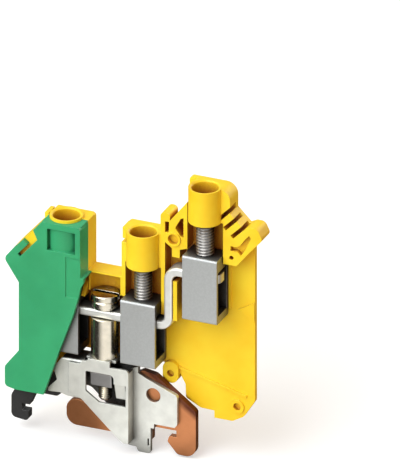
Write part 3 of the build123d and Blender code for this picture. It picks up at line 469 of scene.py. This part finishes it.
def copper_sheet(name, tones, sizes):
    """Bare copper sheet, pressed, with random tarnish spots and painted shadow along its sloping top."""
    # A warm satin orange, painted dark brown at the top as shadow, with bright edges of wear and painted
    # highlight lower down
    material, tree = new_material(name)
    place = place_on(tree)
    soft, edge = edges(tree, sizes.edge_softening)
    slope = (sizes.top_shadow_slope, 0, 1)
    level = add_node(tree, "ShaderNodeVectorMath", {0: place, 1: slope}, operation="DOT_PRODUCT")
    # Painted shadow of the housing above, falling along the plate's sloping top
    top = span(sizes.top_shadow_low / MM, sizes.top_shadow_high / MM, 0.0, TOP_SHADOW_SHARE)
    upper = add_node(tree, "ShaderNodeMapRange", {"Value": level.outputs["Value"], **top}).outputs[0]
    spots = patches(tree, place, COPPER_PATCH, COPPER_PATCHES, detail=5.0)
    tarnish_and_shadow = add_node(tree, "ShaderNodeMath", {0: upper, 1: spots}, operation="ADD", use_clamp=True).outputs[0]
    worn_and_highlit = add_node(tree, "ShaderNodeMath", {0: edge, 1: tarnish_and_shadow}, operation="SUBTRACT",
                    use_clamp=True).outputs[0]
    lines = drawn_lines(tree, place, (0.15, 1.0, 1.0), COPPER_LINES)
    body = add_node(tree, "ShaderNodeMix", {0: tarnish_and_shadow, 6: tones.copper, 7: tones.copper_dark},
                    data_type="RGBA").outputs[2]
    bright = toned(tones.copper, *COPPER_EDGE)
    finish_material(tree, add_node(tree, "ShaderNodeBsdfPrincipled", {
        "Base Color": shaded_metal(tree, body, worn_and_highlit, bright, tones.metal_painted_shade, sizes, clear=0.52),
        "Metallic": 0.85,
        "Roughness": add_node(tree, "ShaderNodeMapRange", {"Value": tarnish_and_shadow, **COPPER_ROUGHNESS}).outputs[0],
        "Normal": add_node(tree, "ShaderNodeBump", {
            "Height": lines, "Distance": COPPER_DEPTH, "Normal": soft}).outputs[0],
    }))
    return material


def blackened_spring_steel(name, tones, sizes):
    """Blackened spring steel of the rail hook."""
    # A dry near black, lighter grey along its edges from wear and a painted highlight
    material, tree = new_material(name)
    place = place_on(tree)
    soft, edge = edges(tree, sizes.edge_softening)
    rubbed_and_highlit = toned(tones.black_steel, *BLACK_EDGE)
    finish_material(tree, add_node(tree, "ShaderNodeBsdfPrincipled", {
        "Base Color": add_node(tree, "ShaderNodeMix", {0: edge, 6: tones.black_steel, 7: rubbed_and_highlit},
                               data_type="RGBA").outputs[2],
        "Metallic": 0.4,
        "Roughness": patches(tree, place, BLACK_GLOSS, BLACK_ROUGHNESS),
        "Normal": relief(tree, place, BLACK_GRAIN, BLACK_DEPTH, soft),
    }))
    return material


FINISHES = {
    "yellow_plastic": yellow_nylon,
    "green_plastic": green_nylon,
    "zinc_plated_cage": zinc_plated_steel,
    "bare_copper": copper_sheet,
    "dark_steel": blackened_spring_steel,
    "bright_steel": bright_rolled_steel,
    "plated_bar": tin_plated_copper,
    "nickel_plated": nickel_plated_steel,
    "screw_steel": oiled_screw_steel,
}


def material_for(slot, scene):
    """Material of one of the record's slots, made once."""
    finish = FINISHES[slot]
    name = finish.__name__
    if name not in bpy.data.materials:
        return finish(name, scene.block_colours, scene.block_sizes)
    return bpy.data.materials[name]


def slot_of(node):
    """Material slot that the record gives a node."""
    for part in frame["record"]["subparts"]:
        if part["node"] == node:
            return part["material_slot"]
    raise ValueError("the record has no node " + node)


def dress(scene, nodes):
    """Gives the CAD nodes their own materials."""
    for name in nodes:
        node = frame["nodes"][name]
        material = material_for(slot_of(name), scene)
        if not node.material_slots:
            node.data.materials.append(material)
        for slot in node.material_slots:
            slot.material = material


def body_of(node):
    """Body that a CAD node rides on."""
    for name, nodes in frame["record"]["behaviour"]["bodies"].items():
        if node in nodes:
            return name
    raise ValueError("no body holds " + node)


def new_piece(name, mesh, scene, node):
    """Object that stands for a CAD node, with that node's body and material."""
    piece = bpy.data.objects.new(name, mesh)
    scene.collection.objects.link(piece)
    mesh.materials.append(material_for(slot_of(node), scene))
    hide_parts(node)
    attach(piece, body_of(node))
    return piece


def revolve(outline, steps):
    """Closed mesh turned about the Z axis from an outline of radius and height, bottom to top."""
    shape = bmesh.new()
    corners = [shape.verts.new((radius, 0, height)) for radius, height in outline]
    sides = [shape.edges.new(pair) for pair in zip(corners, corners[1:])]
    bmesh.ops.spin(shape, geom=corners + sides, cent=(0, 0, 0), axis=UP, angle=2 * pi, steps=steps,
                   use_merge=True)
    bmesh.ops.remove_doubles(shape, verts=shape.verts, dist=SAME_PLACE)
    bmesh.ops.recalc_face_normals(shape, faces=shape.faces)
    return shape


def round_corner(radius, height, size):
    """Points of a head's rounded upper edge, from its side to its top."""
    turns = [pi / 2 * step / HEAD_ROUND_STEPS for step in range(HEAD_ROUND_STEPS + 1)]
    return [(radius - size + size * cos(turn), height - size + size * sin(turn)) for turn in turns]


def cut_thread(shape, radius, pitch, depth, low, high):
    """Draws the shank's side in along a right-handed helix, fading out at both ends."""
    for vert in shape.verts:
        across = Vector((vert.co.x, vert.co.y, 0))
        if not low < vert.co.z < high or abs(across.length - radius) > THREAD_SURFACE:
            continue
        turn = (vert.co.z / pitch - atan2(across.y, across.x) / (2 * pi)) % 1
        flank = min(1.0, max(0.0, abs(2 * turn - 1) * THREAD_FLANK - THREAD_ROOT))
        fade = min(1.0, (vert.co.z - low) / pitch, (high - vert.co.z) / pitch)
        vert.co.xy *= 1 - depth * (1 - flank) * fade / radius


def head_side(radius, seat, groove, sizes):
    """Points of a head's side from its seat up to its groove, or only its lower corner when it has none."""
    if groove == 0:
        return [(radius, seat)]
    middle = seat + sizes.groove_height
    return [(radius, seat), (radius, middle - groove), (radius - groove, middle), (radius, middle + groove)]


def screw_mesh(name, node, sizes, thread, pitch, head, groove):
    """Screw with a real thread, in the place of a plain CAD screw; cut_slot adds its slot."""
    low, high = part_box(node)
    centre = (low + high) / 2
    head_radius = (high.x - low.x) / 2
    seat = high.z - head
    row = pitch / ROWS_PER_PITCH
    rows = int((seat - low.z - sizes.tip_chamfer) / row)
    outline = [(0, low.z), (thread - sizes.tip_chamfer, low.z)]
    outline += [(thread, low.z + sizes.tip_chamfer + step * row) for step in range(rows)]
    outline += [(thread, seat)] + head_side(head_radius, seat, groove, sizes)
    outline += round_corner(head_radius, high.z, sizes.head_round)
    shape = revolve(outline + [(0, high.z)], ROUND_STEPS)
    cut_thread(shape, thread, pitch, pitch * sizes.thread_share, low.z + sizes.tip_chamfer / 2, seat - pitch)
    bmesh.ops.translate(shape, verts=shape.verts, vec=(centre.x, centre.y, 0))
    mesh = bpy.data.meshes.new(name)
    shape.to_mesh(mesh)
    shape.free()
    return mesh


def box_object(scene, low, high):
    """Plain box between two corners, used as a cutter."""
    shape = bmesh.new()
    bmesh.ops.create_cube(shape, size=1)
    bmesh.ops.scale(shape, vec=high - low, verts=shape.verts)
    bmesh.ops.translate(shape, vec=(low + high) / 2, verts=shape.verts)
    mesh = bpy.data.meshes.new("cutter")
    shape.to_mesh(mesh)
    shape.free()
    cutter = bpy.data.objects.new("cutter", mesh)
    scene.collection.objects.link(cutter)
    return cutter


def cut_slot(scene, piece, node, sizes):
    """Screwdriver slot across a screw's head."""
    low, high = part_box(node)
    centre = (low + high) / 2
    half = sizes.slot_width / 2
    cutter = box_object(scene, Vector((low.x - MM, centre.y - half, high.z - sizes.slot_depth)),
                        Vector((high.x + MM, centre.y + half, high.z + MM)))
    modifier = piece.modifiers.new("slot", "BOOLEAN")
    modifier.operation = "DIFFERENCE"
    modifier.solver = "EXACT"
    modifier.object = cutter
    graph = bpy.context.evaluated_depsgraph_get()
    plain = piece.data
    piece.data = bpy.data.meshes.new_from_object(piece.evaluated_get(graph))
    piece.modifiers.remove(modifier)
    bpy.data.objects.remove(cutter)
    bpy.data.meshes.remove(plain)


def smooth(piece):
    """Smooth shading that keeps sharp edges."""
    shape = bmesh.new()
    shape.from_mesh(piece.data)
    for face in shape.faces:
        face.smooth = True
    for edge in shape.edges:
        edge.smooth = edge.calc_face_angle(0) < SHARP_ANGLE
    shape.to_mesh(piece.data)
    shape.free()


def slotted_screw(scene, node, thread, pitch, head, groove=0):
    """Threaded and slotted screw in place of a CAD node."""
    sizes = scene.block_sizes
    mesh = screw_mesh(node + "_threaded", node, sizes, thread, pitch, head, groove)
    piece = new_piece(node + "_threaded", mesh, scene, node)
    cut_slot(scene, piece, node, sizes)
    smooth(piece)


def washer_mesh(name, node, sizes):
    """Split washer, swept as one rising turn in the place of a CAD node."""
    low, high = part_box(node)
    centre = (low + high) / 2
    outer = (high.x - low.x) / 2
    inner = outer - sizes.washer_wire
    height = WASHER_HEIGHT_SHARE * (high.z - low.z)
    rise = high.z - low.z - height
    start = sizes.washer_gap / 2
    shape = bmesh.new()
    section = [(inner, low.z), (outer, low.z), (outer, low.z + height), (inner, low.z + height)]
    corners = [shape.verts.new((radius * cos(start), radius * sin(start), z)) for radius, z in section]
    end = shape.faces.new(corners)
    sweep = bmesh.ops.spin(shape, geom=[end], cent=(0, 0, 0), axis=UP, dvec=(0, 0, rise / WASHER_STEPS),
                           angle=2 * pi - sizes.washer_gap, steps=WASHER_STEPS)
    if not sweep["geom_last"]:
        raise RuntimeError("the spring washer was not swept")
    bmesh.ops.recalc_face_normals(shape, faces=shape.faces)
    bmesh.ops.translate(shape, verts=shape.verts, vec=(centre.x, centre.y, 0))
    mesh = bpy.data.meshes.new(name)
    shape.to_mesh(mesh)
    shape.free()
    return mesh


class TERMINAL_OT_housing(bpy.types.Operator):
    """Gives both halves of the housing their moulded plastic"""

    bl_idname = "terminal.housing"
    bl_label = "Dress Housing"

    def execute(self, context):
        dress(context.scene, ["yellow_shell", "green_cover"])
        return {"FINISHED"}


class TERMINAL_OT_clamps(bpy.types.Operator):
    """Plates the three clamp cages and the current bar"""

    bl_idname = "terminal.clamps"
    bl_label = "Dress Clamps"

    def execute(self, context):
        dress(context.scene, ["left_clamp_cage", "middle_clamp_cage", "right_clamp_cage", "current_bar"])
        return {"FINISHED"}


class TERMINAL_OT_clamp_screws(bpy.types.Operator):
    """Threads and slots the three clamp screws"""

    bl_idname = "terminal.clamp_screws"
    bl_label = "Build Clamp Screws"

    def execute(self, context):
        sizes = context.scene.block_sizes
        for side in ("left", "middle", "right"):
            slotted_screw(context.scene, side + "_clamp_screw", sizes.clamp_thread, sizes.clamp_pitch,
                          sizes.clamp_head)
        return {"FINISHED"}


class TERMINAL_OT_rail_screw(bpy.types.Operator):
    """Threads and slots the rail screw and dresses its sleeve and nut"""

    bl_idname = "terminal.rail_screw"
    bl_label = "Build Rail Screw"

    def execute(self, context):
        sizes = context.scene.block_sizes
        slotted_screw(context.scene, "rail_screw", sizes.rail_thread, sizes.rail_pitch, sizes.rail_head,
                      sizes.head_groove)
        dress(context.scene, ["contact_sleeve", "rail_nut"])
        return {"FINISHED"}


class TERMINAL_OT_spring_washer(bpy.types.Operator):
    """Coils the split spring washer so that its ends stand apart"""

    bl_idname = "terminal.spring_washer"
    bl_label = "Build Spring Washer"

    def execute(self, context):
        mesh = washer_mesh("split_washer", "spring_washer", context.scene.block_sizes)
        smooth(new_piece("split_washer", mesh, context.scene, "spring_washer"))
        return {"FINISHED"}


class TERMINAL_OT_foot(bpy.types.Operator):
    """Gives the bracket, the foot plates and the rail hook their metals"""

    bl_idname = "terminal.foot"
    bl_label = "Dress Foot"

    def execute(self, context):
        dress(context.scene, ["folded_bracket", "steel_foot_plate", "copper_foot_plate", "left_foot_plate"])
        dress(context.scene, ["rail_hook"])
        return {"FINISHED"}


def direction(turn, rise):
    """Direction from the block, turned to the right of its front and raised from the level."""
    return Vector((sin(turn) * cos(rise), -cos(turn) * cos(rise), sin(rise)))


def add_camera(scene, studio):
    """Camera at the photograph's angle, far enough away to look level."""
    lens = bpy.data.cameras.new("camera")
    lens.type = "ORTHO"
    lens.ortho_scale = max(PHOTO_WIDTH, PHOTO_HEIGHT) / studio.scale * MM
    lens.clip_end = 10
    camera = bpy.data.objects.new("camera", lens)
    scene.collection.objects.link(camera)
    towards = direction(studio.turn, studio.rise)
    camera.location = Vector(studio.aim) + towards * studio.distance
    camera.rotation_euler = towards.to_track_quat("Z", "Y").to_euler()
    scene.camera = camera


def add_lamp(scene, name, turn, rise, power, spread):
    """Broad lamp at a turn to the left of the block's front and a height above the level."""
    light = bpy.data.lights.new(name, "SUN")
    light.energy = power
    light.color = scene.block_colours.lamp
    light.angle = spread
    lamp = bpy.data.objects.new(name, light)
    scene.collection.objects.link(lamp)
    lamp.rotation_euler = direction(-turn, rise).to_track_quat("Z", "Y").to_euler()


def add_sky(scene, studio):
    """Even light, warmer from the right, with cards from bright to dark that only metal reflects."""
    world = bpy.data.worlds.new("studio")
    world.use_nodes = True
    tree = world.node_tree
    tree.nodes.clear()
    scene.world = world
    tones = scene.block_colours
    seen = add_node(tree, "ShaderNodeTexCoord").outputs["Generated"]
    towards = direction(-studio.key_turn, studio.key_rise)
    facing = add_node(tree, "ShaderNodeVectorMath", {0: seen, 1: towards}, operation="DOT_PRODUCT")
    bright = add_node(tree, "ShaderNodeMapRange", {"Value": facing.outputs["Value"], **SKY_CARD}).outputs[0]
    cards = add_node(tree, "ShaderNodeBackground", {"Color": WHITE, "Strength": bright}).outputs[0]
    right = add_node(tree, "ShaderNodeSeparateXYZ", {0: seen}).outputs["X"]
    side = add_node(tree, "ShaderNodeMapRange", {"Value": right, **WARM_SIDE}).outputs[0]
    tone = add_node(tree, "ShaderNodeMix", {0: side, 6: tones.fill, 7: tones.warm},
                    data_type="RGBA").outputs[2]
    even = add_node(tree, "ShaderNodeBackground", {"Color": tone, "Strength": studio.sky_power}).outputs[0]
    white = add_node(tree, "ShaderNodeBackground", {"Color": WHITE, "Strength": 1.0}).outputs[0]
    path = add_node(tree, "ShaderNodeLightPath").outputs
    light = add_node(tree, "ShaderNodeMixShader", {0: path["Is Glossy Ray"], 1: even, 2: cards}).outputs[0]
    sky = add_node(tree, "ShaderNodeMixShader", {0: path["Is Camera Ray"], 1: light, 2: white}).outputs[0]
    add_node(tree, "ShaderNodeOutputWorld", {"Surface": sky})


def studio_paper(studio, tones):
    """Painted paper: white to the camera, duller in the light it throws, bright where metal reflects it."""
    material, tree = new_material("studio_paper")
    pale = toned(tones.floor, *PAPER_PATCH)
    cloud = patches(tree, place_on(tree), PAPER_CLOUD, PAPER_PATCHES)
    paint = add_node(tree, "ShaderNodeMix", {0: cloud, 6: tones.floor, 7: pale}, data_type="RGBA").outputs[2]
    white = add_node(tree, "ShaderNodeBsdfDiffuse", {"Color": paint}).outputs[0]
    lift = add_node(tree, "ShaderNodeEmission", {"Color": paint, "Strength": studio.floor_lift}).outputs[0]
    shown = add_node(tree, "ShaderNodeAddShader", {0: white, 1: lift}).outputs[0]
    dull = add_node(tree, "ShaderNodeBsdfDiffuse", {"Color": tones.floor_bounce}).outputs[0]
    place = add_node(tree, "ShaderNodeTexCoord").outputs["Object"]
    away = add_node(tree, "ShaderNodeVectorMath", {0: place}, operation="NORMALIZE").outputs[0]
    front = direction(studio.card_turn, 0)
    facing = add_node(tree, "ShaderNodeVectorMath", {0: away, 1: front}, operation="DOT_PRODUCT")
    shine = add_node(tree, "ShaderNodeMapRange", {"Value": facing.outputs["Value"], **FLOOR_CARD})
    card = add_node(tree, "ShaderNodeEmission", {"Strength": shine.outputs[0]}).outputs[0]
    path = add_node(tree, "ShaderNodeLightPath").outputs
    unseen = add_node(tree, "ShaderNodeMixShader", {0: path["Is Glossy Ray"], 1: dull, 2: card}).outputs[0]
    finish_material(tree, add_node(tree, "ShaderNodeMixShader", {
        0: path["Is Camera Ray"], 1: unseen, 2: shown}))
    return material


def add_floor(scene, studio, tones):
    """Wide pale floor just under the foot."""
    shape = bmesh.new()
    bmesh.ops.create_grid(shape, x_segments=1, y_segments=1, size=studio.floor_reach)
    mesh = bpy.data.meshes.new("studio_floor")
    shape.to_mesh(mesh)
    shape.free()
    floor = bpy.data.objects.new("studio_floor", mesh)
    scene.collection.objects.link(floor)
    floor.location.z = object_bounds()[0][2]
    mesh.materials.append(studio_paper(studio, tones))
    floor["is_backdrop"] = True


class TERMINAL_OT_stage(bpy.types.Operator):
    """Sets up the camera, the light and the floor"""

    bl_idname = "terminal.stage"
    bl_label = "Set Stage"

    def execute(self, context):
        scene = context.scene
        studio = scene.block_studio
        scene.view_settings.view_transform = "Standard"
        add_camera(scene, studio)
        spread = studio.lamp_spread
        add_lamp(scene, "key", studio.key_turn, studio.key_rise, studio.key_power, spread)
        add_lamp(scene, "front", studio.front_turn, studio.front_rise, studio.front_power, spread)
        add_lamp(scene, "back", studio.back_turn, studio.back_rise, studio.back_power, spread)
        add_sky(scene, studio)
        add_floor(scene, studio, scene.block_colours)
        return {"FINISHED"}


class TERMINAL_PT_block(bpy.types.Panel):
    """Sidebar panel with the block's steps"""

    bl_label = "Earth Terminal Block"
    bl_space_type = "VIEW_3D"
    bl_region_type = "UI"
    bl_category = "Terminal Block"

    def draw(self, context):
        for operator in OPERATORS:
            self.layout.operator(operator.bl_idname)


OPERATORS = (TERMINAL_OT_housing, TERMINAL_OT_clamps, TERMINAL_OT_clamp_screws, TERMINAL_OT_rail_screw,
             TERMINAL_OT_spring_washer, TERMINAL_OT_foot, TERMINAL_OT_stage)
SETTINGS = {"block_sizes": BlockSizes, "block_colours": BlockColours, "block_studio": StudioSettings}


def register():
    for name, group in SETTINGS.items():
        bpy.utils.register_class(group)
        setattr(bpy.types.Scene, name, bpy.props.PointerProperty(type=group))
    for operator in OPERATORS:
        bpy.utils.register_class(operator)
    bpy.utils.register_class(TERMINAL_PT_block)


def unregister():
    bpy.utils.unregister_class(TERMINAL_PT_block)
    for operator in reversed(OPERATORS):
        bpy.utils.unregister_class(operator)
    for name, group in SETTINGS.items():
        delattr(bpy.types.Scene, name)
        bpy.utils.unregister_class(group)


def corners(bounds):
    """Box as plain lists of numbers."""
    return [list(corner) for corner in bounds]


def main():
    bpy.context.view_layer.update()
    register()
    bpy.ops.terminal.housing()
    bpy.ops.terminal.clamps()
    bpy.ops.terminal.clamp_screws()
    bpy.ops.terminal.rail_screw()
    bpy.ops.terminal.spring_washer()
    bpy.ops.terminal.foot()
    bpy.ops.terminal.stage()


if __name__ == "__main__":
    main()
